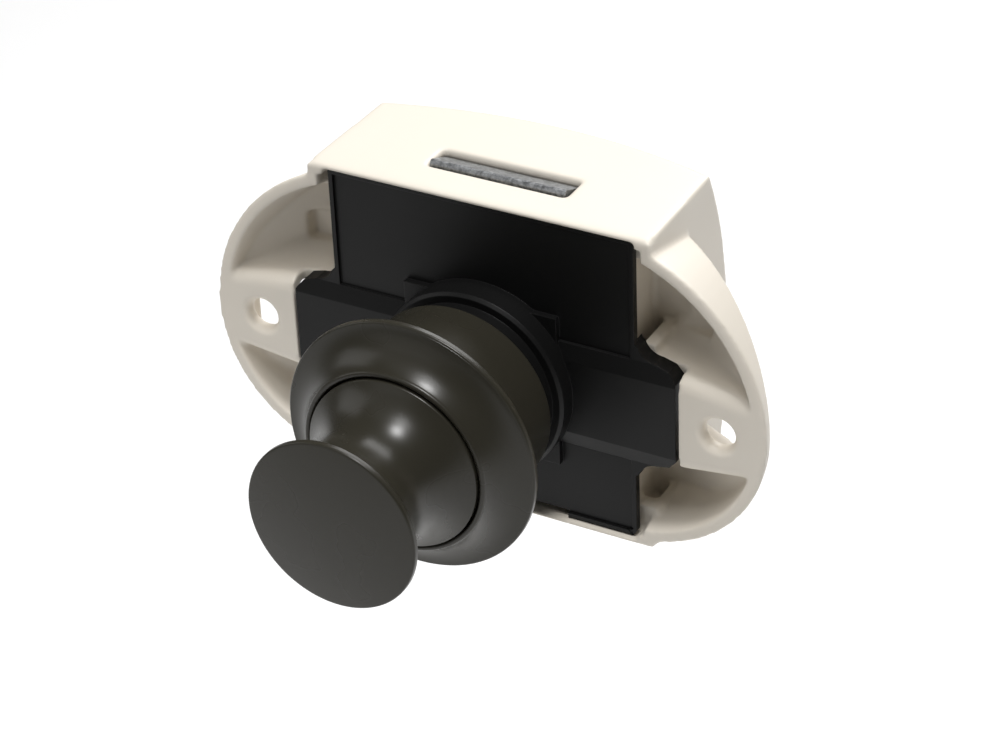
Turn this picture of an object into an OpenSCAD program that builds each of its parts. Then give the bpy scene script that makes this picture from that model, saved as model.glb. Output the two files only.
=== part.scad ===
// Push-button furniture lock: a lobed housing behind the door, a pop-out knob in a rosette in front of it.
// The button axis is Y, positive into the cabinet; Z is up, the way the bolt moves; Y = 0 is the mounting face.

/* [Housing] */
// half width of the central box
body_half_w = 23.7; // [23.2:0.1:26]
// height of the box top above the button axis
body_top = 24.8; // [24.2:0.1:28]
// depth of the box floor below the button axis
body_bottom = 19.0; // [18.4:0.1:22]
// depth of the domed back on the button axis
body_depth = 26.6; // [26:0.1:30]
// bow radius of the back across its width
back_r_x = 84; // [70:1:120]
// bow radius of the back over its height
back_r_z = 60; // [54:1:90]
// wall thickness of the moulding
wall = 1.4; // [1.2:0.1:1.7]
// narrowing of each box side from front to back
side_draft = 0.5; // [0:0.1:0.8]
// depth over which that narrowing is measured
draft_depth = 18; // [16:1:20]
// how far the cheek walls are set in from the box sides
cheek_in = 0.7; // [0.5:0.1:1.0]
// thickness of the cheek walls
cheek_t = 1.2; // [1.0:0.1:1.4]

/* [Lobes] */
// distance from the button axis to each lobe end
lobe_reach = 39.1; // [38.4:0.1:42]
// width of the lobe rim
rim_w = 1.7; // [1.4:0.1:2.0]
// inward slope of the lobe wall per millimetre of depth
lobe_draft = 0.24; // [0.1:0.01:0.3]
// depth of the lobe backs, measured on the button axis
lobe_apex = 15.6; // [15.2:0.1:17]
// bow radius of the lobe backs
lobe_bow_r = 62; // [58:1:70]
// thickness of the lobe floor
lobe_floor = 1.6; // [1.4:0.1:2.0]

/* [Screw pads] */
// distance between the two screw holes
screw_spacing = 65; // [63:0.1:66]
// screw hole diameter
screw_d = 4.2; // [3.6:0.1:4.6]
// chamfer at the front of each screw hole
screw_chamfer = 0.45; // [0.2:0.05:0.8]
// half height of a pad at the cheek wall
pad_half_h = 7.4; // [7.0:0.1:7.8]
// narrowing of a pad per millimetre towards the lobe end
pad_taper = 0.12; // [0.05:0.01:0.18]
// rounding of the pad front edges
pad_round = 1.9; // [1.2:0.1:2.2]
// hollow radius where a pad runs into the lobe floor
pad_fillet = 4.6; // [3:0.1:5]

/* [Carrier plate] */
// how far the plate face lies behind the mounting face
plate_y = 0.7; // [0.5:0.1:1.0]
// plate thickness
plate_t = 2.2; // [2.0:0.1:2.6]
// gap around the plate in the box
plate_gap = 0.1; // [0.05:0.05:0.2]
// gap at the plate sides, where the lobes open
plate_side_gap = 0.85; // [0.6:0.05:1.2]
// thickness of the thin plate lip at the sides
plate_lip = 0.6; // [0.5:0.1:0.9]
// how far the plate is set in behind that lip
plate_set_in = 1.2; // [0.8:0.1:1.4]
// rounding of the lower plate corners
plate_round = 1.0; // [0.5:0.1:1.5]
// half height of the raised band
band_half_h = 5.2; // [4.8:0.1:5.6]
// half height of the side tabs at their root
tab_half_h = 7.4; // [7.0:0.1:7.6]
// narrowing of a tab towards its end
tab_fall = 0.5; // [0.2:0.1:0.7]
// length of the bevels at a tab end
tab_bevel = 1.1; // [0.8:0.1:1.4]
// height of those bevels
tab_bevel_h = 1.3; // [0.8:0.1:1.6]
// distance from the button axis to a tab end
tab_reach = 26.9; // [26.4:0.1:27.4]
// hollow radius beside the tab roots
tab_fillet = 2.6; // [1.5:0.1:3]
// gap between a tab end and its pad
tab_gap = 0.4; // [0.3:0.05:0.8]
// half width of the notch in the lower plate edge
notch_half_w = 11.4; // [10:0.1:12.5]
// height of that notch
notch_h = 2.6; // [2:0.1:3.2]
// half width of the square foot of the collar
foot_half_w = 10.7; // [10:0.1:11.2]
// height of the square foot over the plate face
foot_h = 0.5; // [0.3:0.1:0.6]
// depth of the plate panels below the plate edge
panel_step = 0.35; // [0.2:0.05:0.4]
// width of the plate edge around the panels
panel_edge = 0.6; // [0.4:0.1:0.9]

/* [Collar and neck] */
// collar diameter, a close fit in the drilled door hole
collar_d = 25.8; // [25:0.1:26.4]
// how far the collar stands out of the mounting face
collar_out = 2.75; // [2.2:0.05:3.2]
// wall thickness of the neck
neck_wall = 1.8; // [1.4:0.1:2.0]
// how far the neck stands out of the mounting face
neck_out = 8.3; // [7.6:0.1:8.6]

/* [Rosette] */
// rosette diameter
rosette_d = 34.2; // [32:0.1:37]
// distance from the mounting face to the rosette crest
rosette_out = 21.9; // [21.5:0.1:22.3]
// radius of the hollow rosette face
rosette_hollow = 5.5; // [4.5:0.1:8]
// rounding of the rosette crest
rosette_lip = 0.4; // [0.3:0.05:0.6]
// thickness of the rosette rim
rosette_rim = 0.9; // [0.6:0.1:1.2]
// clamped door thickness
door_t = 17.0; // [16.4:0.1:17.6]
// sleeve diameter
sleeve_d = 25.6; // [25.2:0.1:26]
// distance from the mounting face to the sleeve end
sleeve_end = 5.6; // [5:0.1:6.2]
// bore diameter
bore_d = 23.4; // [23:0.1:23.8]

/* [Knob] */
// knob face diameter
knob_d = 22.7; // [21:0.1:22.8]
// distance from the mounting face to the knob edge
knob_out = 36.4; // [35:0.1:38]
// rise of the domed knob face over its edge
knob_dome = 0.9; // [0.4:0.05:1.4]
// thickness of the knob edge
knob_rim = 0.6; // [0.5:0.05:0.9]
// rounding of the knob edge
knob_edge_r = 0.25; // [0.15:0.05:0.3]
// smallest diameter of the knob waist
waist_d = 15.6; // [14:0.1:18]
// gap between the knob foot and the rosette bore
knob_gap = 0.2; // [0.15:0.05:0.3]
// thickness of the straight knob foot
foot_t = 1.0; // [0.8:0.1:1.4]
// distance from the mounting face to the back of the knob foot
knob_back = 21.2; // [21.0:0.1:21.6]

/* [Drive] */
// travel of the knob
knob_travel = 12.5; // [11:0.1:12.5]
// throw of the bolt
bolt_throw = 8.0; // [6:0.1:8]
// running gap of sliding faces
slide_gap = 0.15; // [0.1:0.05:0.2]
// half width of the stem
stem_half_w = 6.2; // [6:0.1:6.4]
// half height of the stem
stem_half_h = 7.0; // [6.8:0.1:7.1]
// distance from the mounting face to the stem end inside
stem_in = 10.5; // [10.2:0.1:10.8]
// diameter of the stem post held in the knob
post_d = 8.0; // [7:0.1:9]
// length of that post
post_l = 11; // [9:0.5:12]

/* [Bolt] */
// half width of the bolt
bolt_half_w = 9.4; // [9:0.1:9.8]
// bolt thickness
bolt_t = 4.0; // [3.6:0.1:4.2]
// distance from the mounting face to the middle of the bolt
bolt_y = 7.85; // [7.6:0.05:8.1]
// gap of the bolt in its slot
slot_gap = 0.25; // [0.2:0.05:0.35]
// how far the bolt stands over the box top at rest
bolt_proud = 0.45; // [0.2:0.05:0.8]
// fall of the bolt bevel
bolt_bevel = 1.4; // [1:0.1:2]
// radius of the bolt studs
stud_r = 1.5; // [1.3:0.1:1.6]
// depth of the ramp pockets in the stem
groove_depth = 1.9; // [1.6:0.1:2.0]

/* [Bolt springs] */
// outer diameter of a bolt spring
bolt_spring_d = 2.7; // [2.5:0.1:2.8]
// wire diameter of a bolt spring
bolt_spring_wire = 0.45; // [0.4:0.05:0.5]
// number of turns of a bolt spring
bolt_spring_turns = 9; // [7:1:11]
// thickness of the spring floor in the bolt guide
spring_floor = 1.2; // [1:0.1:1.4]

/* [Push-push catch] */
// radius of the catch wire
wire_r = 0.6; // [0.5:0.05:0.7]
// sideways distance of the wire tip at rest
tip_x = 2.2; // [2.1:0.05:2.3]
// distance from the mounting face to the wire tip
tip_y = 8.0; // [7.8:0.1:8.2]
// distance from the mounting face to the wire pivot
pivot_y = 19.0; // [18.6:0.1:19.4]
// depth of the heart track
track_depth = 1.6; // [1.4:0.1:1.8]
// half width of the heart
heart_half_w = 1.3; // [1.2:0.05:1.35]
// gap between the wire arm and the stem
arm_gap = 0.6; // [0.5:0.05:0.8]
// thickness of the keeper leaf
leaf_t = 0.3; // [0.2:0.05:0.4]

/* [Return spring] */
// outer diameter of the return spring
spring_d = 6.0; // [5.6:0.1:6.2]
// wire diameter of the return spring
spring_wire = 0.7; // [0.6:0.05:0.8]
// gap of the spring in its stem bore
spring_gap = 0.2; // [0.15:0.05:0.3]
// distance from the mounting face to the spring seat in the stem
spring_seat = 12; // [11:0.5:12.5]
// number of turns of the return spring
spring_turns = 14; // [11:1:16]

/* [Hidden] */
eps = 0.01;
far = 60;
inner_w = body_half_w - wall;
inner_top = body_top - wall;
inner_bottom = body_bottom - wall;
upper_r = body_top;
lower_r = body_bottom;
screw_x = screw_spacing / 2;
cheek_x = body_half_w - cheek_in;
pad_start = cheek_x - 0.3;
floor_r = lobe_bow_r - lobe_floor;
floor_mid = (cheek_x + lobe_reach) / 2;
floor_fall = floor_mid / sqrt(floor_r * floor_r - floor_mid * floor_mid);
floor_mid_y = lobe_apex - lobe_bow_r + sqrt(floor_r * floor_r - floor_mid * floor_mid);
pad_in = tab_reach + tab_gap;
plate_back = plate_y + plate_t;
plate_half_w = inner_w - plate_side_gap;
plate_top = inner_top - plate_gap;
plate_bottom = inner_bottom - plate_gap;
collar_r = collar_d / 2;
bore_r = bore_d / 2;
sleeve_r = sleeve_d / 2;
neck_r = bore_r;
neck_in_r = neck_r - neck_wall;
guide_w = stem_half_w + slide_gap;
guide_h = stem_half_h + slide_gap;
rosette_r = rosette_d / 2;
rosette_edge = door_t + rosette_rim;
knob_r = knob_d / 2;
knob_foot_r = bore_r - knob_gap;
waist_r = waist_d / 2;
hub_back = collar_out + knob_travel + 0.25;
post_r = post_d / 2;
bolt_front = bolt_y - bolt_t / 2;
bolt_back = bolt_y + bolt_t / 2;
bolt_tip = body_top + bolt_proud;
fork_top = stem_half_h + 0.4;
leg_in = stem_half_w + 0.3;
stud_z = -bolt_throw / 2;
leg_bottom = stud_z - stud_r - 2.5;
groove_r = stud_r + slide_gap;
ramp_angle = atan2(bolt_throw, knob_travel);
ramp_l = sqrt(bolt_throw * bolt_throw + knob_travel * knob_travel);
leg_mid = (leg_in + bolt_half_w) / 2;
rail_in = bolt_half_w + slide_gap;
rail_w = 1.8;
rail_top = inner_top - 1.4;
rail_bottom = -plate_bottom + 0.3;
seat_z = rail_bottom + spring_floor;
rib_r = 1.0;
rib_x = cheek_x - rib_r;
rib_z = tab_half_h + rib_r + 0.3;
lip_in = leg_in + 1.6;
track_half_w = tip_x + wire_r + 0.3;
track_top = stem_half_h - track_depth;
arm_z = stem_half_h + arm_gap + wire_r;
arm_angle = atan2(tip_x, pivot_y - tip_y);
arm_l = sqrt(tip_x * tip_x + (pivot_y - tip_y) * (pivot_y - tip_y));
boss_r = 2.4;
boss_top = arm_z + wire_r + 0.1;
pivot_deep = 3.2;
spring_r = spring_d / 2;
spring_in_r = spring_r - spring_wire;
spring_bore_r = spring_r + spring_gap;
spring_end = body_depth - wall - 0.8;
spring_pin_r = spring_in_r - 0.25;

$fn = 96;

// round bar along Y
module bar_y(r, y0, y1) {
    translate([0, y0, 0])
        rotate([-90, 0, 0])
            cylinder(r = r, h = y1 - y0);
}

// box given by its two corners
module block(a, b) {
    translate(a)
        cube([b[0] - a[0], b[1] - a[1], b[2] - a[2]]);
}

// both mirror halves of a right-hand form
module both() {
    children();
    mirror([1, 0, 0])
        children();
}

// one quarter of a lobe, turned about its own axis along Y
module lobe_quarter(r, inset, y0, y1, turn) {
    translate([lobe_reach - r, 0, 0])
        rotate([-90, 0, 0])
            rotate([0, 0, turn])
                rotate_extrude(angle = 90)
                    polygon([
                        [0, y0],
                        [r - inset - lobe_draft * y0, y0],
                        [r - inset - lobe_draft * y1, y1],
                        [0, y1]
                    ]);
}

// right-hand lobe outline, set in by an amount
module lobe_form(inset, y0, y1) {
    lobe_quarter(upper_r, inset, y0, y1, -90);
    lobe_quarter(lower_r, inset, y0, y1, 0);
}

// everything in front of the bowed lobe backs
module lobe_bow(t) {
    translate([0, lobe_apex - lobe_bow_r, -far])
        cylinder(r = lobe_bow_r - t, h = 2 * far, $fn = 256);
}

// everything in front of the domed box back
module back_dome(t) {
    translate([0, body_depth - back_r_z, 0])
        rotate([0, 90, 0])
            rotate_extrude($fn = 256)
                intersection() {
                    translate([back_r_z - back_r_x, 0])
                        circle(r = back_r_x - t, $fn = 256);
                    translate([0, -far / 2])
                        square([far * 2, far]);
                }
}

// central box with slightly drawn-in sides
module box_form(t) {
    intersection() {
        translate([0, 0, t - body_bottom])
            linear_extrude(body_top + body_bottom - 2 * t)
                polygon([
                    [t - body_half_w - side_draft / draft_depth, -1],
                    [body_half_w - t + side_draft / draft_depth, -1],
                    [body_half_w - t - side_draft * 30 / draft_depth, 30],
                    [t - body_half_w + side_draft * 30 / draft_depth, 30]
                ]);
        back_dome(t);
    }
}

// half space behind the mounting face
module behind(y) {
    block([-far, y, -far], [far, y + far, far]);
}

// height of the pad edge at a distance from the button axis
function pad_edge(x) = pad_half_h - pad_taper * (x - cheek_x);

// straight line along the lobe floor at a distance from the button axis
function floor_line(x) = floor_mid_y - floor_fall * (x - floor_mid);

// flat outline of a pad, set in by an amount
module pad_outline(inset) {
    polygon([
        [pad_start, pad_edge(pad_start) - inset],
        [lobe_reach, pad_edge(lobe_reach) - inset],
        [lobe_reach, inset - pad_edge(lobe_reach)],
        [pad_start, inset - pad_edge(pad_start)]
    ]);
}

// screw pad with rounded front edges, hollowed into the lobe floor
module pad_form() {
    slope = atan(pad_taper);
    inset = pad_round / cos(slope);
    slab(0, far / 3)
        pad_outline(inset);
    slab(pad_round, far / 3)
        pad_outline(0);
    for (s = [0, 1])
        mirror([0, 0, s]) {
            translate([pad_start, pad_round, pad_edge(pad_start) - inset])
                rotate([0, 90 + slope, 0])
                    cylinder(r = pad_round, h = (lobe_reach - pad_start) / cos(slope));
            pad_hollow();
        }
}

// conical hollow between a pad and the bowed lobe floor, running out at the lobe end
module pad_hollow() {
    root_x = cheek_x + 1;
    tip_far = lobe_reach - 0.9;
    tip = [tip_far, floor_line(tip_far), pad_edge(tip_far)];
    off_floor = pad_fillet / sqrt(1 + floor_fall * floor_fall);
    off_pad = pad_fillet / sqrt(1 + pad_taper * pad_taper);
    root = [
        root_x,
        floor_line(root_x) - pad_fillet * sqrt(1 + floor_fall * floor_fall),
        pad_edge(root_x) + pad_fillet * sqrt(1 + pad_taper * pad_taper)
    ];
    v = root - tip;
    l = norm(v);
    half = asin((pad_fillet + 0.03) / l);
    on_floor = root + [floor_fall * off_floor, off_floor, 0];
    on_pad = root - [pad_taper * off_pad, 0, off_pad];
    rise = (on_floor[2] - tip[2]) / (on_floor[0] - tip[0]);
    fall = (on_pad[1] - tip[1]) / (on_pad[0] - tip[0]);
    difference() {
        intersection() {
            slab(0, far / 3)
                polygon([
                    [tip[0], tip[2] - 0.5],
                    [tip[0], tip[2]],
                    [pad_start, tip[2] + rise * (pad_start - tip[0])],
                    [pad_start, 0]
                ]);
            linear_extrude(far / 3)
                polygon([
                    [tip[0], tip[1]],
                    [tip[0], far / 3],
                    [pad_start, far / 3],
                    [pad_start, tip[1] + fall * (pad_start - tip[0])]
                ]);
        }
        translate(tip)
            rotate([0, acos(v[2] / l), atan2(v[1], v[0])])
                cylinder(r1 = 0, r2 = 1.3 * l * tan(half), h = 1.3 * l);
    }
}

module right_lobe() {
    difference() {
        intersection() {
            lobe_form(0, 0, 16);
            lobe_bow(0);
            block([cheek_x, 0, -far], [far, far, far]);
        }
        intersection() {
            lobe_form(rim_w, -1, 16);
            lobe_bow(lobe_floor);
            block([cheek_x - 1, -1, -far], [far, far, far]);
        }
    }
    difference() {
        intersection() {
            lobe_form(rim_w / 2, 0, 16);
            lobe_bow(lobe_floor / 2);
            pad_form();
        }
        block([inner_w - 1, -1, -far / 3], [pad_in, plate_back, far / 3]);
    }
}

// screw hole with its front chamfer
module screw_hole() {
    translate([screw_x, 0, 0]) {
        bar_y(screw_d / 2, -1, lobe_apex);
        translate([0, -eps, 0])
            rotate([-90, 0, 0])
                cylinder(r1 = screw_d / 2 + screw_chamfer, r2 = screw_d / 2, h = screw_chamfer);
    }
}

module housing() {
    color([0.95, 0.93, 0.89])
        difference() {
            union() {
                difference() {
                    intersection() {
                        box_form(0);
                        behind(0);
                    }
                    difference() {
                        box_form(wall);
                        both()
                            block([cheek_x - cheek_t, plate_back, -far], [far, far, far]);
                    }
                    both()
                        intersection() {
                            lobe_form(rim_w, -1, 16);
                            lobe_bow(lobe_floor);
                            union() {
                                block([cheek_x, -1, -far], [body_half_w + 1, far, far]);
                                block([inner_w - 2, -1, -far], [body_half_w + 1, plate_back, far]);
                            }
                        }
                }
                both()
                    right_lobe();
                intersection() {
                    box_form(wall / 2);
                    housing_inside();
                }
            }
            both()
                screw_hole();
            block(
                [-bolt_half_w - slot_gap, bolt_front - slot_gap, inner_top - 1],
                [bolt_half_w + slot_gap, bolt_back + slot_gap, body_top + 1]
            );
            translate([0, pivot_y, -boss_top - pivot_deep])
                cylinder(r = wire_r + 0.05, h = pivot_deep + 1, $fn = 48);
            block(
                [-tip_x - 0.05, pivot_y - boss_r - 1, -boss_top - leaf_t - 0.4],
                [tip_x + 0.05, pivot_y - boss_r + 0.8, -boss_top - 0.4]
            );
        }
}

// plate ledges, cheek ribs, spring pin and wire boss on the inner walls
module housing_inside() {
    both()
        for (z = [-rib_z, rib_z])
            translate([rib_x, 0, z])
                bar_y(rib_r, plate_back, plate_back + 6);
    both()
        for (z = [[rail_top - 2, inner_top + 0.5], [-inner_bottom - 0.5, 4 - inner_bottom]])
            block([inner_w - 3.2, plate_back, z[0]], [inner_w + 0.5, plate_back + 2.4, z[1]]);
    bar_y(spring_pin_r, spring_end - 7, body_depth);
    bar_y(spring_r + 0.9, spring_end, body_depth);
    translate([0, pivot_y, -body_bottom])
        cylinder(r = boss_r, h = body_bottom - boss_top);
    block([-0.8, pivot_y, -body_bottom], [0.8, body_depth, -boss_top - 1.5]);
}

// flat outline of the carrier plate
module plate_outline(inset) {
    w = plate_half_w - inset;
    top = plate_top - inset;
    low = plate_bottom - inset;
    r = plate_round;
    translate([-w, -low + r])
        square([2 * w, top + low - r]);
    translate([-w + r, -low])
        square([2 * w - 2 * r, r + eps]);
    for (x = [-w + r, w - r])
        translate([x, -low + r])
            circle(r = r);
}

// flat outline of one tab with the hollows beside its root
module tab_outline() {
    end_h = tab_half_h - tab_fall;
    polygon([
        [0, -tab_half_h],
        [plate_half_w + tab_fillet, -tab_half_h],
        [tab_reach - tab_bevel, -end_h],
        [tab_reach, tab_bevel_h - end_h],
        [tab_reach, end_h - tab_bevel_h],
        [tab_reach - tab_bevel, end_h],
        [plate_half_w + tab_fillet, tab_half_h],
        [0, tab_half_h]
    ]);
    for (s = [0, 1])
        mirror([0, s])
            difference() {
                translate([plate_half_w - eps, tab_half_h - eps])
                    square([tab_fillet, tab_fillet]);
                translate([plate_half_w + tab_fillet, tab_half_h + tab_fillet])
                    circle(r = tab_fillet);
            }
}

// turns a flat outline to the X-Z plane, from one depth to another
module slab(y0, y1) {
    translate([0, y1, 0])
        rotate([90, 0, 0])
            linear_extrude(y1 - y0)
                children();
}

// raised band across the plate, with sloped flanks
module band() {
    foot = plate_y + panel_step + eps;
    intersection() {
        translate([-tab_reach, 0, 0])
            rotate([90, 0, 90])
                linear_extrude(2 * tab_reach)
                    polygon([
                        [foot, -tab_half_h],
                        [plate_y, -tab_half_h],
                        [0, -band_half_h],
                        [0, band_half_h],
                        [plate_y, tab_half_h],
                        [foot, tab_half_h]
                    ]);
        slab(-1, plate_back) {
            tab_outline();
            mirror([1, 0])
                tab_outline();
        }
    }
}

// guides that hold the bolt behind the plate
module bolt_rails() {
    both() {
        block([rail_in, plate_back - eps, rail_bottom], [rail_in + rail_w, bolt_back + slide_gap + 1.2, rail_top]);
        block([lip_in, bolt_back + slide_gap, rail_bottom], [rail_in + eps, bolt_back + slide_gap + 1.2, rail_top]);
        block([guide_w + 0.6, plate_back - eps, rail_bottom], [rail_in + eps, bolt_front - slide_gap, rail_top]);
        block([guide_w + 0.6, plate_back - eps, rail_bottom], [rail_in + eps, bolt_back + slide_gap + 1.2, seat_z]);
    }
}

module carrier_plate() {
    color([0.10, 0.10, 0.10])
        difference() {
            union() {
                slab(plate_y + panel_step, plate_y + panel_step + plate_lip)
                    plate_outline(0);
                slab(plate_y, plate_y + panel_step + eps)
                    difference() {
                        plate_outline(0);
                        plate_outline(panel_edge);
                    }
                slab(plate_y + panel_step, plate_back)
                    intersection() {
                        plate_outline(0);
                        translate([plate_set_in - plate_half_w, -far])
                            square([2 * (plate_half_w - plate_set_in), 2 * far]);
                    }
                slab(plate_y, plate_back) {
                    tab_outline();
                    mirror([1, 0])
                        tab_outline();
                }
                band();
                block(
                    [-foot_half_w, plate_y - foot_h, -foot_half_w],
                    [foot_half_w, plate_y + panel_step + eps, foot_half_w]
                );
                bar_y(collar_r, 0.4 - collar_out, plate_back);
                translate([0, -collar_out, 0])
                    rotate([-90, 0, 0])
                        cylinder(r1 = collar_r - 0.4, r2 = collar_r, h = 0.4 + eps);
                bar_y(neck_r - 0.15, -neck_out, 0);
                for (y = [0, 1])
                    bar_y(neck_r, -neck_out + 0.5 + 1.4 * y, -neck_out + 1.2 + 1.4 * y);
                bolt_rails();
            }
            bar_y(neck_in_r, -neck_out - 1, -collar_out);
            block([-guide_w, -collar_out - 1, -guide_h], [guide_w, plate_back + 1, guide_h]);
            block([-notch_half_w, plate_y - 1, -far], [notch_half_w, plate_back + 1, notch_h - plate_bottom]);
        }
}

// turns a flat profile of radius and depth about the button axis
module turned() {
    rotate([-90, 0, 0])
        rotate_extrude($fn = 128)
            children();
}

module rosette() {
    crest = [bore_r + 2 * rosette_lip, rosette_lip - rosette_out];
    edge = [rosette_r, -rosette_edge];
    chord = crest - edge;
    c = norm(chord);
    d = sqrt(rosette_hollow * rosette_hollow - c * c / 4);
    middle = (crest + edge) / 2 + [-chord[1], chord[0]] * d / c;
    color([0.24, 0.23, 0.21])
        turned()
            difference() {
                union() {
                    difference() {
                        translate([0, crest[1]])
                            square([rosette_r, -door_t - crest[1]]);
                        translate(middle)
                            circle(r = rosette_hollow, $fn = 192);
                    }
                    translate([bore_r + rosette_lip, crest[1]])
                        circle(r = rosette_lip, $fn = 48);
                    translate([0, -rosette_out])
                        square([bore_r + rosette_lip, rosette_lip + eps]);
                    translate([0, -door_t - eps])
                        square([sleeve_r, door_t - sleeve_end + eps]);
                }
                translate([-1, -far])
                    square([bore_r + 1, far]);
            }
}

module knob() {
    neck_front = knob_rim - knob_out;
    neck_back = -knob_back - foot_t;
    span = neck_back - neck_front;
    mid = (neck_back + neck_front) / 2;
    lift = knob_foot_r - waist_r;
    hollow_r = (lift * lift + span * span / 4) / (2 * lift);
    dome_r = (knob_r * knob_r + knob_dome * knob_dome) / (2 * knob_dome);
    dome_y = dome_r - knob_out - knob_dome;
    edge_x = knob_r - knob_edge_r;
    edge_y = dome_y - sqrt(pow(dome_r - knob_edge_r, 2) - edge_x * edge_x);
    color([0.24, 0.23, 0.21])
        turned()
            difference() {
                union() {
                    intersection() {
                        translate([0, dome_y])
                            circle(r = dome_r, $fn = 720);
                        translate([0, -far])
                            square([edge_x, far + neck_front + eps]);
                    }
                    translate([0, edge_y])
                        square([knob_r, neck_front - edge_y + eps]);
                    translate([edge_x, edge_y])
                        circle(r = knob_edge_r, $fn = 48);
                    difference() {
                        translate([0, neck_front])
                            square([knob_r, span / 2 + eps]);
                        translate([waist_r + hollow_r, mid])
                            circle(r = hollow_r, $fn = 192);
                    }
                    difference() {
                        translate([0, mid])
                            square([knob_foot_r, span / 2 + eps]);
                        translate([waist_r + hollow_r, mid])
                            circle(r = hollow_r, $fn = 192);
                    }
                    translate([0, neck_back])
                        square([knob_foot_r, foot_t]);
                    translate([0, -knob_back - eps])
                        square([stem_half_w + 1.8, knob_back - hub_back + eps]);
                }
                translate([-1, -hub_back - post_l])
                    square([post_r + 1, far]);
                translate([-far, -far])
                    square([far, 2 * far]);
            }
}

// heart between the two branches of the track, seen along Z
module heart() {
    top = tip_y - knob_travel + wire_r + 0.4;
    low = tip_y - 2.6;
    difference() {
        polygon([
            [-heart_half_w, top + 0.4],
            [-heart_half_w * 0.6, top],
            [heart_half_w * 0.6, top],
            [heart_half_w, top + 0.4],
            [heart_half_w, top + 3.2],
            [0, low],
            [-heart_half_w, top + 3.2]
        ]);
        translate([0, top])
            circle(r = wire_r + 0.2, $fn = 32);
    }
}

// ramp pocket on the right side of the stem: its slanted edge holds the bolt stud down, its floor lets the bolt spring back
module ramp_pocket() {
    x0 = stem_half_w - groove_depth;
    y0 = bolt_y - knob_travel;
    top = stud_z + bolt_throw;
    for (p = [[bolt_y, stud_z], [y0, top], [y0, stud_z]])
        translate([x0, p[0], p[1]])
            rotate([0, 90, 0])
                cylinder(r = groove_r, h = groove_depth + 1, $fn = 64);
    translate([x0, bolt_y, stud_z])
        rotate([-ramp_angle, 0, 0])
            translate([0, -ramp_l, -groove_r])
                cube([groove_depth + 1, ramp_l, 2 * groove_r]);
    translate([x0, 0, 0])
        rotate([90, 0, 90])
            linear_extrude(groove_depth + 1)
                polygon([
                    [bolt_y, stud_z - groove_r],
                    [bolt_y, stud_z],
                    [y0, top],
                    [y0 - groove_r, top],
                    [y0 - groove_r, stud_z],
                    [y0, stud_z],
                    [y0, stud_z - groove_r]
                ]);
}

module stem() {
    color([0.86, 0.85, 0.82])
        difference() {
            union() {
                block([-stem_half_w, -hub_back, -stem_half_h], [stem_half_w, stem_in, stem_half_h]);
                bar_y(post_r, -hub_back - post_l, 0);
            }
            bar_y(spring_bore_r, -spring_seat, far);
            both()
                ramp_pocket();
            difference() {
                block(
                    [-track_half_w, tip_y - knob_travel - wire_r - 0.5, -far],
                    [track_half_w, tip_y + wire_r + 0.4, -track_top]
                );
                translate([0, 0, -stem_half_h])
                    linear_extrude(track_depth + 1)
                        heart();
            }
        }
}

// wound spring along Z from 0 to its length, with close turns at both ends
module coil(r, wire, length, turns) {
    sides = 6;
    steps = 14;
    n = turns * steps;
    rise = length - wire;
    lift = function(t) t < 1 ? t * wire
        : t > turns - 1 ? rise - (turns - t) * wire
        : wire + (t - 1) * (rise - 2 * wire) / (turns - 2);
    points = [
        for (i = [0 : n], k = [0 : sides - 1])
            let (a = 360 * i / steps, b = 360 * k / sides + 90, q = r + wire / 2 * cos(b))
                [q * cos(a), q * sin(a), wire / 2 + lift(i / steps) + wire / 2 * sin(b)]
    ];
    skin = [
        for (i = [0 : n - 1], k = [0 : sides - 1])
            let (m = (k + 1) % sides)
                [i * sides + k, i * sides + m, (i + 1) * sides + m, (i + 1) * sides + k]
    ];
    ends = [
        [for (k = [sides - 1 : -1 : 0]) k],
        [for (k = [0 : sides - 1]) n * sides + k]
    ];
    polyhedron(points, concat(skin, ends), convexity = 10);
}

module return_spring() {
    color([0.72, 0.72, 0.72])
        translate([0, -spring_seat, 0])
            rotate([-90, 0, 0])
                coil(spring_r - spring_wire / 2, spring_wire, spring_seat + spring_end, spring_turns);
}

module bolt_spring_right() {
    color([0.72, 0.72, 0.72])
        translate([leg_mid, bolt_y, seat_z])
            coil((bolt_spring_d - bolt_spring_wire) / 2, bolt_spring_wire, leg_bottom - seat_z, bolt_spring_turns);
}

module bolt_spring_left() {
    mirror([1, 0, 0])
        bolt_spring_right();
}

module latch_bolt() {
    color([0.66, 0.66, 0.66]) {
        difference() {
            translate([-bolt_half_w, 0, 0])
                rotate([90, 0, 90])
                    linear_extrude(2 * bolt_half_w)
                        polygon([
                            [bolt_front, leg_bottom],
                            [bolt_back, leg_bottom],
                            [bolt_back, bolt_tip - bolt_bevel],
                            [bolt_front + 0.6, bolt_tip],
                            [bolt_front + 0.3, bolt_tip - 0.05],
                            [bolt_front, bolt_tip - 0.4]
                        ]);
            block([-leg_in, 0, leg_bottom - 1], [leg_in, far, fork_top]);
        }
        both()
            translate([leg_in - groove_depth + 0.1, bolt_y, stud_z])
                rotate([0, 90, 0])
                    cylinder(r = stud_r, h = groove_depth + 0.4, $fn = 64);
    }
}

module catch_wire() {
    color([0.75, 0.75, 0.75])
        translate([0, pivot_y, -arm_z])
            rotate([0, 0, -arm_angle]) {
                sphere(r = wire_r, $fn = 32);
                translate([0, 0, -pivot_deep])
                    cylinder(r = wire_r, h = pivot_deep, $fn = 32);
                rotate([90, 0, 0])
                    cylinder(r = wire_r, h = arm_l, $fn = 32);
                translate([0, -arm_l, 0]) {
                    sphere(r = wire_r, $fn = 32);
                    cylinder(r = wire_r, h = arm_gap + wire_r + track_depth - 0.3, $fn = 32);
                }
            }
}

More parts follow.
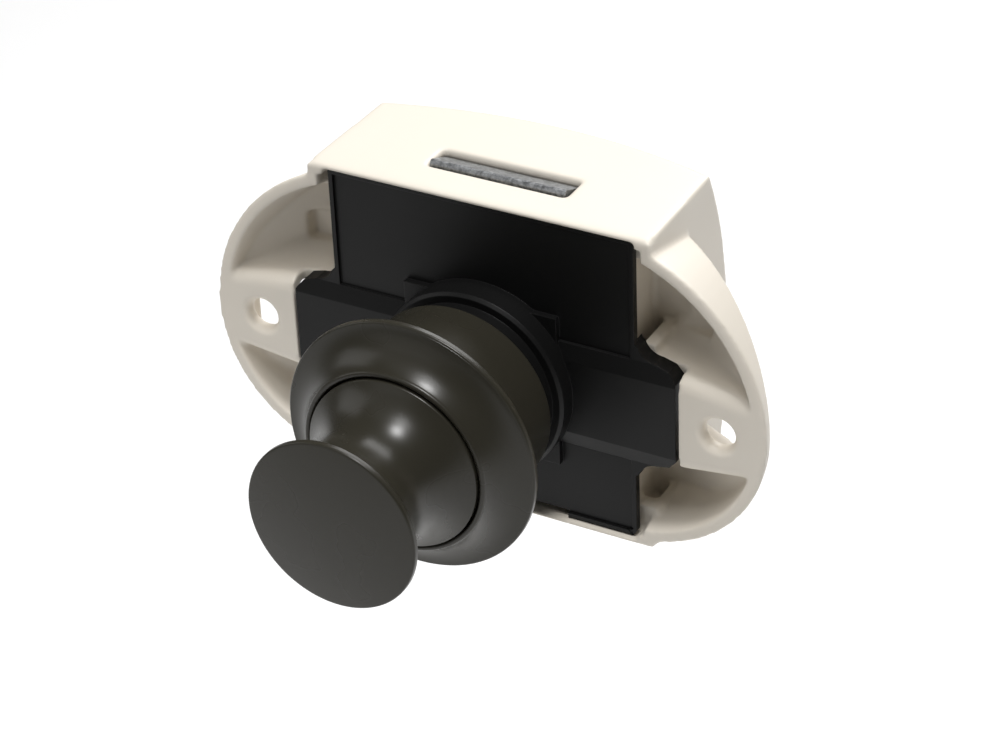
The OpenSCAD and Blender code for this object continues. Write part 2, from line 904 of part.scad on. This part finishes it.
module keeper_leaf() {
    color([0.78, 0.78, 0.78])
        block(
            [-tip_x, tip_y - 0.8, -boss_top - leaf_t - 0.4],
            [tip_x, pivot_y - boss_r + 0.7, -boss_top - 0.4]
        );
}

housing();
carrier_plate();
rosette();
knob();
stem();
return_spring();
latch_bolt();
bolt_spring_left();
bolt_spring_right();
catch_wire();
keeper_leaf();
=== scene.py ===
import math

import bmesh
import bpy
from mathutils import Matrix, Vector


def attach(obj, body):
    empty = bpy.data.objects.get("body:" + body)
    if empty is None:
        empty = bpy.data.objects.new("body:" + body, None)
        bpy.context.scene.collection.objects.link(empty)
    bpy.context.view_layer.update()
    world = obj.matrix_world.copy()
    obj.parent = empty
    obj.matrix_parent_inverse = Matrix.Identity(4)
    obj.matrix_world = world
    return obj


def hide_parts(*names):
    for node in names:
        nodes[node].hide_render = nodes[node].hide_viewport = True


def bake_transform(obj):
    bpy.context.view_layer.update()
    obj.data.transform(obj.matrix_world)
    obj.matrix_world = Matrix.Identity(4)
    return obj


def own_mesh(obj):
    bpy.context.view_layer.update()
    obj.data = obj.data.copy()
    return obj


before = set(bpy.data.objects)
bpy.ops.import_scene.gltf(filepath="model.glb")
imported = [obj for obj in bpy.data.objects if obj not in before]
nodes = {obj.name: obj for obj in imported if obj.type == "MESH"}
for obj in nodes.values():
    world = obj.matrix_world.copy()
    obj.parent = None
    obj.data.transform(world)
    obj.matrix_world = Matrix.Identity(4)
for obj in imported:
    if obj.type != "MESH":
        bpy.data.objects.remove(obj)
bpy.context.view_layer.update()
mm = 0.001
print("frame loaded:", len(nodes), "nodes")


# shader maths: a wrapped socket, so that expressions on values add their own Math nodes
class Wire:
    def __init__(self, tree, socket):
        self.tree = tree
        self.socket = socket

    def math(self, operation, a, b):
        return self.tree.add("ShaderNodeMath", {"operation": operation}, {0: a, 1: b})

    def __add__(self, other):
        return self.math("ADD", self, other)

    def __radd__(self, other):
        return self.math("ADD", other, self)

    def __sub__(self, other):
        return self.math("SUBTRACT", self, other)

    def __rsub__(self, other):
        return self.math("SUBTRACT", other, self)

    def __mul__(self, other):
        return self.math("MULTIPLY", self, other)

    def __rmul__(self, other):
        return self.math("MULTIPLY", other, self)

    def __truediv__(self, other):
        return self.math("DIVIDE", self, other)

    def __rtruediv__(self, other):
        return self.math("DIVIDE", other, self)

    def out(self, name):
        return Wire(self.tree, self.socket.node.outputs[name])


class Graph:
    def __init__(self, tree):
        self.nodes = tree.nodes
        self.links = tree.links

    def put(self, socket, value):
        if isinstance(value, Wire):
            self.links.new(value.socket, socket)
        else:
            socket.default_value = value

    def add(self, kind, settings, inputs):
        node = self.nodes.new(kind)
        for name, value in settings.items():
            if name == "stops":
                for stop in list(node.color_ramp.elements)[1:]:
                    node.color_ramp.elements.remove(stop)
                for i, (place, colour) in enumerate(value):
                    stop = node.color_ramp.elements[0] if i == 0 else node.color_ramp.elements.new(place)
                    stop.position = place
                    stop.color = colour
            else:
                setattr(node, name, value)
        for name, value in inputs.items():
            self.put(node.inputs[name], value)
        return Wire(self, next((s for s in node.outputs if s.enabled), None))


class Finish(Graph):
    def __init__(self, name):
        self.material = bpy.data.materials.new(name)
        self.material.use_nodes = True
        super().__init__(self.material.node_tree)
        self.shader = self.nodes["Principled BSDF"]

    def place(self):
        return self.add("ShaderNodeTexCoord", {}, {}).out("Object")

    def noise(self, scale, detail=3.0, rough=0.5):
        sockets = {"Vector": self.place(), "Scale": scale, "Detail": detail, "Roughness": rough}
        return self.add("ShaderNodeTexNoise", {}, sockets)

    def blendColours(self, factor, a, b):
        return self.add("ShaderNodeMix", {"data_type": "RGBA"}, {"Factor": factor, 6: a, 7: b})

    def bump(self, height, strength, distance, softEdge=0.0):
        sockets = {"Strength": strength, "Distance": distance, "Height": height}
        if softEdge:
            sockets["Normal"] = self.add("ShaderNodeBevel", {"samples": 6}, {"Radius": softEdge})
        return self.add("ShaderNodeBump", {}, sockets)

    def set(self, **values):
        for name, value in values.items():
            self.put(self.shader.inputs[name.replace("_", " ")], value)
        return self.material


def rgb(r, g, b):
    return (r, g, b, 1.0)


creamLook = {"light": rgb(0.82, 0.765, 0.675), "warm": rgb(0.80, 0.735, 0.635), "rough": 0.42}


def creamPlastic():
    f = Finish("creamPlastic")
    cloud = f.noise(60.0, 3.0)
    grain = f.noise(2400.0, 2.0)
    return f.set(
        Base_Color=f.blendColours(cloud, creamLook["light"], creamLook["warm"]),
        Roughness=creamLook["rough"] + (cloud - 0.5) * 0.08,
        Normal=f.bump(grain, 0.06, 0.00002),
        IOR=1.49,
    )


blackLook = {
    "light": rgb(0.0075, 0.0075, 0.0074), "dark": rgb(0.0048, 0.0048, 0.0049),
    "rough": 0.42, "gloss": 0.22, "softEdge": 0.00014,
}


def blackPlastic():
    f = Finish("blackPlastic")
    cloud = f.noise(90.0, 3.0)
    grain = f.noise(3200.0, 2.0)
    return f.set(
        Base_Color=f.blendColours(cloud, blackLook["light"], blackLook["dark"]),
        Roughness=blackLook["rough"] + (cloud - 0.5) * 0.12,
        Normal=f.bump(grain, 0.12, 0.00002, blackLook["softEdge"]),
        Specular_IOR_Level=blackLook["gloss"],
    )


greyLook = {
    "light": rgb(0.034, 0.0312, 0.0226), "dark": rgb(0.029, 0.0264, 0.0190),
    "rough": 0.28, "gloss": 0.38,
}


def greyPlastic():
    f = Finish("greyPlastic")
    cloud = f.noise(70.0, 3.0)
    grain = f.noise(1800.0, 2.0)
    return f.set(
        Base_Color=f.blendColours(cloud, greyLook["light"], greyLook["dark"]),
        Roughness=greyLook["rough"] + (cloud - 0.5) * 0.08,
        Normal=f.bump(grain, 0.04, 0.00002),
        Specular_IOR_Level=greyLook["gloss"],
    )


stemLook = {"light": rgb(0.72, 0.70, 0.66), "dark": rgb(0.66, 0.64, 0.59), "rough": 0.45, "softEdge": 0.0002}


def stemPlastic():
    f = Finish("stemPlastic")
    cloud = f.noise(120.0, 3.0)
    return f.set(
        Base_Color=f.blendColours(cloud, stemLook["light"], stemLook["dark"]),
        Roughness=stemLook["rough"] + (cloud - 0.5) * 0.1,
        Normal=f.bump(cloud, 0.05, 0.00002, stemLook["softEdge"]),
        IOR=1.48,
    )


steelLook = {"light": rgb(0.60, 0.60, 0.61), "dark": rgb(0.48, 0.48, 0.49), "rough": 0.25}


def springSteel():
    f = Finish("springSteel")
    streak = f.noise(900.0, 2.0)
    return f.set(
        Base_Color=f.blendColours(streak, steelLook["light"], steelLook["dark"]),
        Roughness=steelLook["rough"] + (streak - 0.5) * 0.15,
        Metallic=1.0,
    )


zincLook = {
    "light": rgb(0.46, 0.47, 0.48), "dark": rgb(0.16, 0.165, 0.17),
    "rough": 0.42, "softEdge": 0.0002, "stops": [(0.35, rgb(0, 0, 0)), (0.68, rgb(1, 1, 1))],
}


def castZinc():
    f = Finish("castZinc")
    crystal = f.noise(1700.0, 4.0, 0.7)
    spark = f.add("ShaderNodeValToRGB", {"stops": zincLook["stops"]}, {"Fac": crystal})
    return f.set(
        Base_Color=f.blendColours(spark, zincLook["dark"], zincLook["light"]),
        Roughness=zincLook["rough"] + (crystal - 0.5) * 0.3,
        Metallic=0.85,
        Normal=f.bump(crystal, 0.6, 0.00006, zincLook["softEdge"]),
    )


finishes = {
    "housing": creamPlastic(),
    "carrier_plate": blackPlastic(),
    "rosette": greyPlastic(),
    "stem": stemPlastic(),
    "return_spring": springSteel(),
    "latch_bolt": castZinc(),
}
finishes["knob"] = finishes["rosette"]
for name in ("bolt_spring_left", "bolt_spring_right", "catch_wire", "keeper_leaf"):
    finishes[name] = finishes["return_spring"]
for name, node in nodes.items():
    node.data.materials.clear()
    node.data.materials.append(finishes[name])
print("finishes set")


def addObject(name, mesh):
    piece = bpy.data.objects.new(name, mesh)
    bpy.context.scene.collection.objects.link(piece)
    return piece


# evaluates the modifiers into a plain mesh and takes them off
def bakeModifiers(piece):
    bpy.context.view_layer.update()
    mesh = bpy.data.meshes.new_from_object(piece.evaluated_get(bpy.context.evaluated_depsgraph_get()))
    piece.modifiers.clear()
    piece.data = mesh


def meshFrom(bm, name):
    mesh = bpy.data.meshes.new(name)
    bm.to_mesh(mesh)
    bm.free()
    return mesh


def between(value, ends):
    return ends[0] < value < ends[1]


def addBlock(bm, low, high):
    box = bmesh.ops.create_cube(bm, size=1.0)
    for v in box["verts"]:
        v.co = Vector([(low[i] + (v.co[i] + 0.5) * (high[i] - low[i])) * mm for i in range(3)])


# a block on the right (side 1) or mirrored to the left (side -1), from its ranges in X, Y and Z
def addSideBlock(bm, side, xs, ys, zs):
    low, high = sorted(side * x for x in xs)
    addBlock(bm, (low, ys[0], zs[0]), (high, ys[1], zs[1]))


mergeDistance = 0.000002  # joins the loose triangles of a CAD copy


def mergedCopy(name):
    bm = bmesh.new()
    bm.from_mesh(nodes[name].data)
    bmesh.ops.remove_doubles(bm, verts=bm.verts, dist=mergeDistance)
    return bm


# lengths in mm, apart from the voxel
shell = {
    "voxel": 0.00030, "smoothing": 0.5, "rounds": 6, "keep": 0.38,
    "hollowX": (25.4, 35.4), "hollowY": (1.9, 18.0), "hollowZ": (-5.4, 5.4),  # behind the pads
    "pitX": (24.4, 28.7), "pitY": (6.0, 8.5), "pitZ": (9.0, 13.0),  # in the lobe floors
    "screwX": 32.5, "holeR": 2.1, "sinkR": 2.75, "sink": 0.7, "sinkFront": 0.4,
    "rebateX": 21.6, "rebateY": (-1.0, 2.92), "rebateZ": ((22.5, 24.08), (-18.35, -17.0)),  # plate edge
    "openX": (19.5, 23.02), "openY": (2.0, 9.2), "openZ": ((8.7, 20.2), (-15.6, -8.7)),  # cheek walls
    "innerX": (18.4, 19.6), "innerY": (2.95, 10.5), "innerZ": (-17.8, 23.6), "backLap": 0.8,
    "floorX": 23.75, "floorZ": -17.4, "floorDown": 0.6,
    "lobeReach": 39.1, "lobeX": 23.7, "topR": 24.8, "lowR": 19.0, "draft": 0.24,
    "boxX": 23.9, "boxTop": 24.8, "boxLow": -18.9, "boxReach": 0.6,
    "edgeDepth": 1.4, "edgeReach": 1.0, "edgeRounds": 18,
}


# hollows behind the pads, pits in the lobe floors, openings in the cheek walls, sunk screw holes, plate seat
def makeShellCutter():
    bm = bmesh.new()
    front, sink = shell["sinkFront"], shell["sink"]
    wide = shell["sinkR"] + (shell["sinkR"] - shell["holeR"]) * front / sink
    turn = Matrix.Rotation(math.radians(-90), 4, "X")
    for side in (-1, 1):
        addSideBlock(bm, side, shell["hollowX"], shell["hollowY"], shell["hollowZ"])
        addSideBlock(bm, side, shell["pitX"], shell["pitY"], shell["pitZ"])
        for zs in shell["openZ"]:
            addSideBlock(bm, side, shell["openX"], shell["openY"], zs)
        place = Matrix.Translation((side * shell["screwX"] * mm, (sink - front) / 2 * mm, 0.0)) @ turn
        bmesh.ops.create_cone(
            bm, cap_ends=True, segments=64, radius1=wide * mm, radius2=shell["holeR"] * mm,
            depth=(sink + front) * mm, matrix=place,
        )
    (y0, y1), x = shell["rebateY"], shell["rebateX"]
    for low, high in shell["rebateZ"]:
        addBlock(bm, (-x, y0, low), (x, y1, high))
    bmesh.ops.recalc_face_normals(bm, faces=bm.faces)
    return addObject("shellCutter", meshFrom(bm, "shellCutter"))


# lowers the box floor a little and sets a wall behind each opening
def finishInside(piece):
    bm = bmesh.new()
    bm.from_mesh(piece.data)
    for v in bm.verts:
        if abs(v.co.x) < shell["floorX"] * mm and v.co.z < shell["floorZ"] * mm:
            v.co.z -= shell["floorDown"] * mm
    inner, reach = shell["innerX"]
    front, end = shell["innerY"]
    walls = ((reach, front), (shell["openX"][1] - shell["backLap"], shell["openY"][1]))
    for outer, start in walls:
        for side in (1, -1):
            addSideBlock(bm, side, (inner, outer), (start, end), shell["innerZ"])
    piece.data = meshFrom(bm, piece.name)


# marks the outer front edges, which are rounded more than the rest
def markFrontEdges(piece):
    group = piece.vertex_groups.new(name="frontEdges")
    reach = shell["edgeReach"]
    picked = []
    for v in piece.data.vertices:
        x, y, z = (c / mm for c in v.co)
        r = shell["topR"] if z > 0 else shell["lowR"]
        fromMiddle = math.hypot(max(abs(x) - (shell["lobeReach"] - r), 0.0), z)
        onLobe = abs(x) > shell["lobeX"] and fromMiddle > r - reach - shell["draft"] * y
        onTop = z > shell["boxTop"] - reach * shell["boxReach"]
        onBox = abs(x) < shell["boxX"] and (onTop or z < shell["boxLow"])
        if y < shell["edgeDepth"] and (onLobe or onBox):
            picked.append(v.index)
    group.add(picked, 1.0, "REPLACE")


# the housing with soft moulded edges, made from the merged solid
def makeShell():
    piece = addObject("caseShell", meshFrom(mergedCopy("housing"), "caseShell"))
    cutter = makeShellCutter()
    cut = piece.modifiers.new("cut", "BOOLEAN")
    cut.operation, cut.solver, cut.object = "DIFFERENCE", "EXACT", cutter
    bakeModifiers(piece)
    bpy.data.objects.remove(cutter)
    finishInside(piece)
    remesh = piece.modifiers.new("remesh", "REMESH")
    remesh.mode = "VOXEL"
    remesh.voxel_size = shell["voxel"]
    bakeModifiers(piece)
    markFrontEdges(piece)
    for group, rounds in (("", shell["rounds"]), ("frontEdges", shell["edgeRounds"])):
        soften = piece.modifiers.new("soften", "SMOOTH")
        soften.factor = shell["smoothing"]
        soften.iterations = rounds
        soften.vertex_group = group
    thin = piece.modifiers.new("thin", "DECIMATE")
    thin.ratio = shell["keep"]
    bakeModifiers(piece)
    piece.data.shade_smooth()
    piece.data.materials.clear()
    piece.data.materials.append(finishes["housing"])
    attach(piece, "case")
    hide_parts("housing")
    print("housing shell:", len(piece.data.polygons), "faces")


# how far the edges move, and where the solid has them
plate = {
    "topUp": 0.68, "lowDown": 1.3, "sideIn": 0.35, "backIn": 0.45, "notchEnd": -18.0,
    "edgeBack": 2.95, "topFrom": 22.0, "lowFrom": -16.0, "sideX": (20.7, 21.5), "backX": (20.2, 20.3),
    "notchX": 11.45, "notchZ": (-15.1, -14.7), "railX": 11.38, "railFront": 2.85, "railLow": -17.3,
}


# the carrier plate, reaching to the thin box rim above and below
def makePlate():
    bm = mergedCopy("carrier_plate")
    for v in bm.verts:
        x, y, z = (c / mm for c in v.co)
        onEdge = y < plate["edgeBack"]
        onRail = abs(x) < plate["railX"] and y > plate["railFront"] and z > plate["railLow"]
        if onEdge and z > plate["topFrom"]:
            v.co.z += plate["topUp"] * mm
        if onEdge and z < plate["lowFrom"] and not onRail:
            v.co.z -= plate["lowDown"] * mm
        if onEdge and abs(x) < plate["notchX"] and between(z, plate["notchZ"]):
            v.co.z = plate["notchEnd"] * mm
        if between(abs(x), plate["sideX"]):
            v.co.x -= math.copysign(plate["sideIn"] * mm, x)
        elif between(abs(x), plate["backX"]):
            v.co.x -= math.copysign(plate["backIn"] * mm, x)
    mesh = meshFrom(bm, "plateBody")
    mesh.shade_flat()
    piece = addObject("plateBody", mesh)
    mesh.materials.clear()
    mesh.materials.append(finishes["carrier_plate"])
    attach(piece, "case")
    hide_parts("carrier_plate")
    print("plate:", len(mesh.polygons), "faces")


def arc(cx, cy, r, a0, a1, steps):
    turns = [math.radians(a0 + (a1 - a0) * i / steps) for i in range(steps + 1)]
    return [(cx + r * math.cos(a), cy + r * math.sin(a)) for a in turns]


poleRadius = 0.0005  # mm, below which a profile point is a pole
creaseAngle = math.radians(38)


# turns a closed profile of (radius, depth) in mm about the button axis; points on the axis become poles
def turnProfile(name, profile, around):
    bm = bmesh.new()
    rings = []
    for r, y in profile:
        if r < poleRadius:
            rings.append([bm.verts.new((0.0, y * mm, 0.0))])
        else:
            angles = [2 * math.pi * i / around for i in range(around)]
            rings.append([bm.verts.new((r * math.sin(a) * mm, y * mm, r * math.cos(a) * mm)) for a in angles])
    for k, low in enumerate(rings):
        high = rings[(k + 1) % len(rings)]
        if len(low) == 1 and len(high) == 1:
            continue
        for i in range(around):
            j = (i + 1) % around
            if len(low) == 1:
                bm.faces.new((low[0], high[j], high[i]))
            elif len(high) == 1:
                bm.faces.new((low[i], low[j], high[0]))
            else:
                bm.faces.new((low[i], low[j], high[j], high[i]))
    bmesh.ops.recalc_face_normals(bm, faces=bm.faces)
    mesh = meshFrom(bm, name)
    mesh.shade_smooth()
    mesh.set_sharp_from_angle(angle=creaseAngle)
    return addObject(name, mesh)


ring = {
    "radius": 17.1, "back": 17.0, "edge": 17.9, "edgeRound": 0.28, "out": 21.9, "hollow": 5.5, "lip": 0.4,
    "bore": 11.7, "sleeve": 12.8, "sleeveEnd": 5.6, "endRound": 0.2, "rootRound": 0.35, "backRound": 0.15,
}


def makeRosette():
    r, b, s = ring["radius"], ring["bore"], ring["sleeve"]
    crest = Vector((b + 2 * ring["lip"], ring["lip"] - ring["out"]))
    rim = Vector((r, -ring["edge"]))
    chord = crest - rim
    reach = math.sqrt(ring["hollow"] ** 2 - chord.length_squared / 4)
    middle = (crest + rim) / 2 + Vector((-chord.y, chord.x)).normalized() * reach
    a0 = math.degrees(math.atan2(crest.y - middle.y, crest.x - middle.x)) % 360
    a1 = math.degrees(math.atan2(rim.y - middle.y, rim.x - ring["edgeRound"] - middle.x)) % 360
    e, q, f, k = ring["endRound"], ring["edgeRound"], ring["rootRound"], ring["backRound"]
    profile = [(b, -ring["sleeveEnd"])]
    profile += arc(b + ring["lip"], crest.y, ring["lip"], 180, 360, 18)
    profile += arc(middle.x, middle.y, ring["hollow"], a0, a1, 48)[1:]
    profile += arc(r - q, q - ring["edge"], q, 275, 360, 8)
    profile += arc(r - k, -ring["back"] - k, k, 0, 90, 4)
    profile += arc(s + f, f - ring["back"], f, 270, 180, 6)
    profile += arc(s - e, -ring["sleeveEnd"] - e, e, 0, 90, 5)
    piece = turnProfile("rosetteRing", profile, 192)
    piece.data.materials.append(finishes["rosette"])
    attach(piece, "case")
    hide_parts("rosette")
    print("rosette:", len(piece.data.polygons), "faces")


button = {
    "radius": 11.35, "out": 36.4, "dome": 0.9, "rim": 0.6, "rimRound": 0.28, "waist": 7.8,
    "foot": 11.5, "footFront": 22.2, "footBack": 21.2, "footRound": 0.25,
    "hub": 8.0, "hubBack": 15.5, "post": 4.0, "postDepth": 11.0,  # bore for the stem post
}


def makeKnob():
    r, q, w, foot = button["radius"], button["rimRound"], button["waist"], button["foot"]
    front, back = button["rim"] - button["out"], -button["footFront"]
    dome = (r * r + button["dome"] ** 2) / (2 * button["dome"])
    domeY = dome - button["out"] - button["dome"]
    edgeY = domeY - math.sqrt((dome - q) ** 2 - (r - q) ** 2)
    lift, span = foot - w, back - front
    hollow = (lift * lift + span * span / 4) / (2 * lift)
    mid = (front + back) / 2
    slope = math.degrees(math.asin((r - q) / (dome - q)))
    start = 180 + math.degrees(math.acos((w + hollow - r) / hollow))
    end = 180 - math.degrees(math.asin((back - mid) / hollow))
    e = button["footRound"]
    profile = [(0.0, -button["out"] - button["dome"])]
    profile += arc(0.0, domeY, dome, 270 + slope * 0.02, 270 + slope, 40)
    profile += arc(r - q, edgeY, q, 270 + slope, 360, 8)[1:]
    profile += arc(w + hollow, mid, hollow, start, end, 64)
    profile += arc(foot - e, back + e, e, 315, 360, 4)
    hub, post, footBack, hubBack = button["hub"], button["post"], -button["footBack"], -button["hubBack"]
    boreEnd = hubBack - button["postDepth"]
    profile += [(foot, footBack), (hub, footBack), (hub, hubBack)]
    profile += [(post, hubBack), (post, boreEnd), (0.0, boreEnd)]
    piece = turnProfile("knobTurned", profile, 192)
    piece.data.materials.append(finishes["knob"])
    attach(piece, "button")
    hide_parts("knob")
    print("knob:", len(piece.data.polygons), "faces")


# a wound spring along Z, with close turns at both ends
def makeSpringTree():
    tree = bpy.data.node_groups.new("woundSpring", "GeometryNodeTree")
    tree.interface.new_socket("Geometry", in_out="OUTPUT", socket_type="NodeSocketGeometry")
    keys = {}
    for name in ("Turns", "Radius", "Wire", "Length"):
        keys[name] = tree.interface.new_socket(name, in_out="INPUT", socket_type="NodeSocketFloat").identifier
    g = Graph(tree)
    given = g.add("NodeGroupInput", {}, {})
    turns, radius, wire, length = (given.out(name) for name in ("Turns", "Radius", "Wire", "Length"))
    circle = {"Start Radius": radius, "End Radius": radius, "Height": 0.0}
    path = g.add("GeometryNodeCurveSpiral", {}, {"Resolution": 40, "Rotations": turns, **circle})
    turn = g.add("GeometryNodeSplineParameter", {}, {}) * turns
    closed = turn.math("MINIMUM", turn, 1.0) + turn.math("MAXIMUM", turn - (turns - 1.0), 0.0)
    middle = turn.math("MINIMUM", turn.math("MAXIMUM", (turn - 1.0) / (turns - 2.0), 0.0), 1.0)
    height = wire * (closed + 0.5) + (length - wire * 3.0) * middle
    offset = g.add("ShaderNodeCombineXYZ", {}, {"Z": height})
    path = g.add("GeometryNodeSetPosition", {}, {"Geometry": path, "Offset": offset})
    section = g.add("GeometryNodeCurvePrimitiveCircle", {}, {"Resolution": 12, "Radius": wire * 0.5})
    coil = g.add("GeometryNodeCurveToMesh", {}, {"Curve": path, "Profile Curve": section, "Fill Caps": True})
    coil = g.add("GeometryNodeRealizeInstances", {}, {"Geometry": coil})
    coil = g.add("GeometryNodeSetMaterial", {}, {"Geometry": coil, "Material": finishes["return_spring"]})
    g.add("NodeGroupOutput", {}, {"Geometry": coil})
    return tree, keys


coils = {
    "pushSpring": {
        "node": "return_spring", "turns": 14.0, "wire": 0.7, "radius": 2.65, "length": 36.4,
        "foot": (0.0, -12.0, 0.0),
    },
}
for hand, side in (("Right", 1), ("Left", -1)):
    coils["boltSpring" + hand] = {
        "node": "bolt_spring_" + hand.lower(), "turns": 9.0, "wire": 0.45, "radius": 1.125, "length": 8.0,
        "foot": (side * 7.95, 7.85, -16.0),
    }


def makeSprings():
    tree, keys = makeSpringTree()
    for name, coil in coils.items():
        piece = addObject(name, bpy.data.meshes.new(name))
        wound = piece.modifiers.new("wound", "NODES")
        wound.node_group = tree
        wound[keys["Turns"]] = coil["turns"]
        for key in ("Radius", "Wire", "Length"):
            wound[keys[key]] = coil[key.lower()] * mm
        bakeModifiers(piece)
        foot = Vector(coil["foot"]) * mm
        alongY = coil["node"] == "return_spring"
        turn = Matrix.Rotation(math.radians(-90), 4, "X") if alongY else Matrix.Identity(4)
        piece.data.transform(Matrix.Translation(foot) @ turn)
        piece.data.shade_smooth()
        if alongY:
            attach(piece, "case")
            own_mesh(piece)
        else:
            top = foot + Vector((0, 0, coil["length"] * mm))
            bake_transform(piece)
        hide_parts(coil["node"])
    print("springs wound:", len(coils))


makeShell()
makePlate()
makeRosette()
makeKnob()
makeSprings()

stage = {
    "floorDrop": 0.12, "floorSize": 6.0, "floorColour": rgb(0.96, 0.96, 0.96), "floorRough": 0.9,
    "floorGlow": 0.1, "ambient": 0.04,
}


def makeFloor():
    mesh = bpy.data.meshes.new("floor")
    s, z = stage["floorSize"] / 2, -stage["floorDrop"]
    mesh.from_pydata([(-s, -s, z), (s, -s, z), (s, s, z), (-s, s, z)], [], [(0, 1, 2, 3)])
    floor = addObject("floor", mesh)
    paint = Finish("floorPaint")
    paint.set(Base_Color=stage["floorColour"], Roughness=stage["floorRough"])
    paint.set(Emission_Color=rgb(1, 1, 1), Emission_Strength=stage["floorGlow"])
    mesh.materials.append(paint.material)


# place, side and power of each soft box, all turned to the origin
lights = {
    "keyBox": ((0.115, -0.05, 0.60), 0.13, 2.3),
    "highBox": ((0.105, -0.23, 0.65), 0.2, 1.1),
    "highLeftBox": ((-0.21, -0.35, 0.56), 0.6, 0.3),
    "backBox": ((0.0, 0.60, 0.45), 0.5, 4.0),
    "leftBox": ((-0.62, -0.15, 0.30), 0.4, 0.55),
    "frontBox": ((-0.30, -0.70, 0.25), 0.5, 0.35),
}


def makeLights():
    for name, (place, size, power) in lights.items():
        lamp = bpy.data.lights.new(name, "AREA")
        lamp.shape = "SQUARE"
        lamp.size = size
        lamp.energy = power
        holder = bpy.data.objects.new(name, lamp)
        turn = Vector(place).to_track_quat("Z", "Y")
        holder.matrix_world = Matrix.Translation(place) @ turn.to_matrix().to_4x4()
        bpy.context.scene.collection.objects.link(holder)


view = {
    "azimuth": 29.955, "elevation": 32.728, "roll": -2.468, "distance": 0.3884,
    "right": 0.00234, "up": -0.00014, "lens": 111.89,
}


def makeCamera():
    az, el, roll = (math.radians(view[k]) for k in ("azimuth", "elevation", "roll"))
    back = Vector((math.sin(az) * math.cos(el), -math.cos(az) * math.cos(el), math.sin(el)))
    side = Vector((math.cos(az), math.sin(az), 0.0))
    top = back.cross(side)
    right = side * math.cos(roll) + top * math.sin(roll)
    up = top * math.cos(roll) - side * math.sin(roll)
    eye = back * view["distance"] + right * view["right"] + up * view["up"]
    lens = bpy.data.cameras.new("camera")
    lens.sensor_fit = "HORIZONTAL"
    lens.sensor_width = 36.0
    lens.lens = view["lens"]
    lens.clip_start, lens.clip_end = 0.01, 50.0
    camera = bpy.data.objects.new("camera", lens)
    turn = Matrix((right, up, back)).transposed().to_4x4()
    camera.matrix_world = Matrix.Translation(eye) @ turn
    bpy.context.scene.collection.objects.link(camera)
    bpy.context.scene.camera = camera


def makeWorld():
    world = bpy.data.worlds.new("studio")
    world.use_nodes = True
    sky = world.node_tree.nodes["Background"]
    sky.inputs["Color"].default_value = rgb(1.0, 1.0, 1.0)
    sky.inputs["Strength"].default_value = stage["ambient"]
    bpy.context.scene.world = world


makeFloor()
makeWorld()
makeLights()
makeCamera()
bpy.context.scene.view_settings.view_transform = "Standard"
print("stage, lights and camera set")
